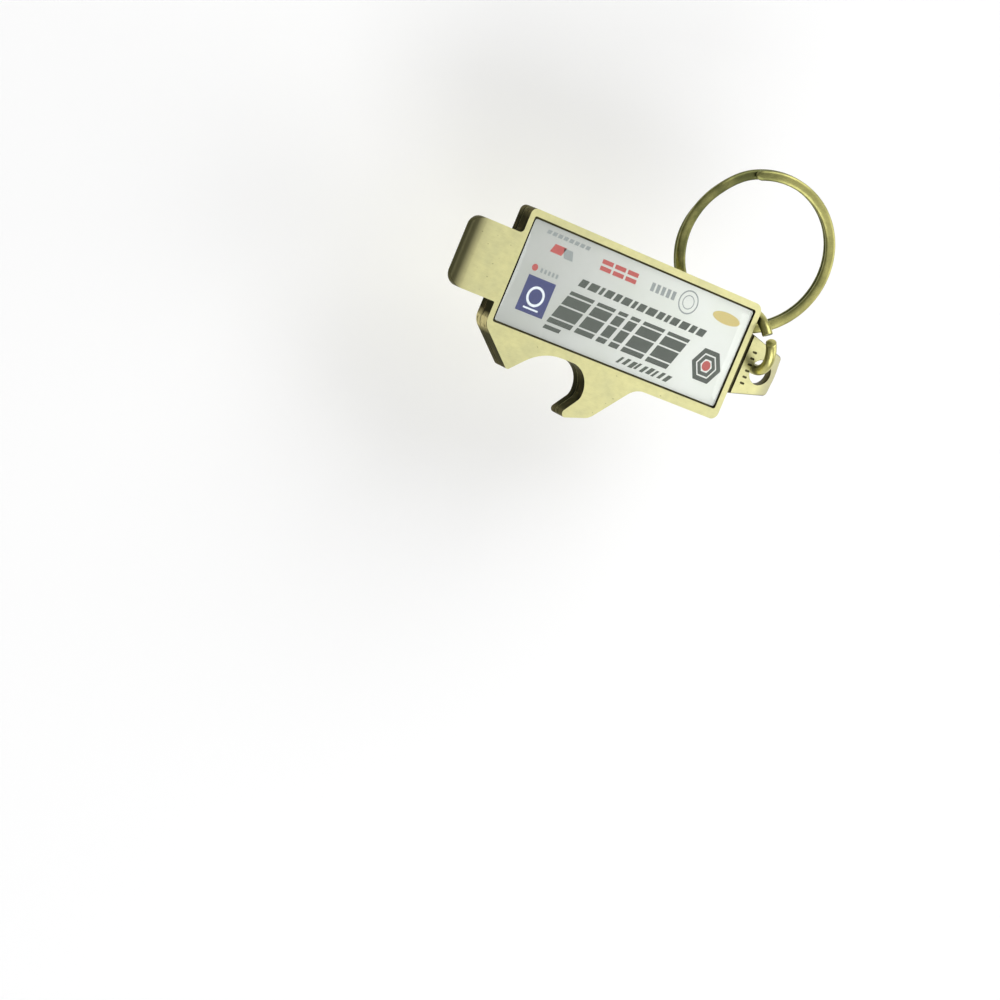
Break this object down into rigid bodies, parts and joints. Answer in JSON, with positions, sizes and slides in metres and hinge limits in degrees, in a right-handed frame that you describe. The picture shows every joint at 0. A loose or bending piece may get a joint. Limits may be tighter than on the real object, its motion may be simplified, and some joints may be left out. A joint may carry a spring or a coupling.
{
  "type": "keychain bottle opener",
  "caption": "Antique brass keychain bottle opener with a hooked cap notch, a pry tab, a domed label in its face, and a jump ring and split key ring on its lug.",
  "frame": {"origin": "middle of the label pocket, on the plane of the front face", "axes": "+X along the opener to its lug and rings, +Y away from the cap hook, +Z out of the front face"},
  "size_m": [0.0714, 0.0531, 0.012],
  "materials": {
    "plate_brass": "brushed antique brass, bright on the faces and edges, dark patina on the side walls",
    "ring_brass": "drawn antique brass wire, darker on the inner side",
    "rivet_brass": "satin, filed flush",
    "adhesive": "matt film",
    "label_print": "satin white film printed in flat colours",
    "clear_epoxy": "clear high-gloss cast epoxy"
  },
  "bodies": {
    "opener": {"front_plate": "plate_brass", "back_plate": "plate_brass", "rivet_1": "rivet_brass", "rivet_2": "rivet_brass", "rivet_3": "rivet_brass", "rivet_4": "rivet_brass", "label_adhesive": "adhesive", "label_sheet": "label_print", "epoxy_dome": "clear_epoxy"},
    "jump_ring": {"jump_ring": "ring_brass"},
    "split_ring": {"split_ring": "ring_brass"}
  },
  "joints": [
    {"name": "jump_ring_swivel", "type": "hinge", "parent": "opener", "child": "jump_ring", "pos_m": [0.0324, -0.00045, -0.0032], "axis": [0, 0, 1], "range_deg": [-190, 1]},
    {"name": "split_ring_swing", "type": "hinge", "parent": "jump_ring", "child": "split_ring", "pos_m": [0.02865, 0.0063, -0.00485], "axis": [-0.8671, -0.4246, -0.2604], "range_deg": [-6, 120]}
  ]
}
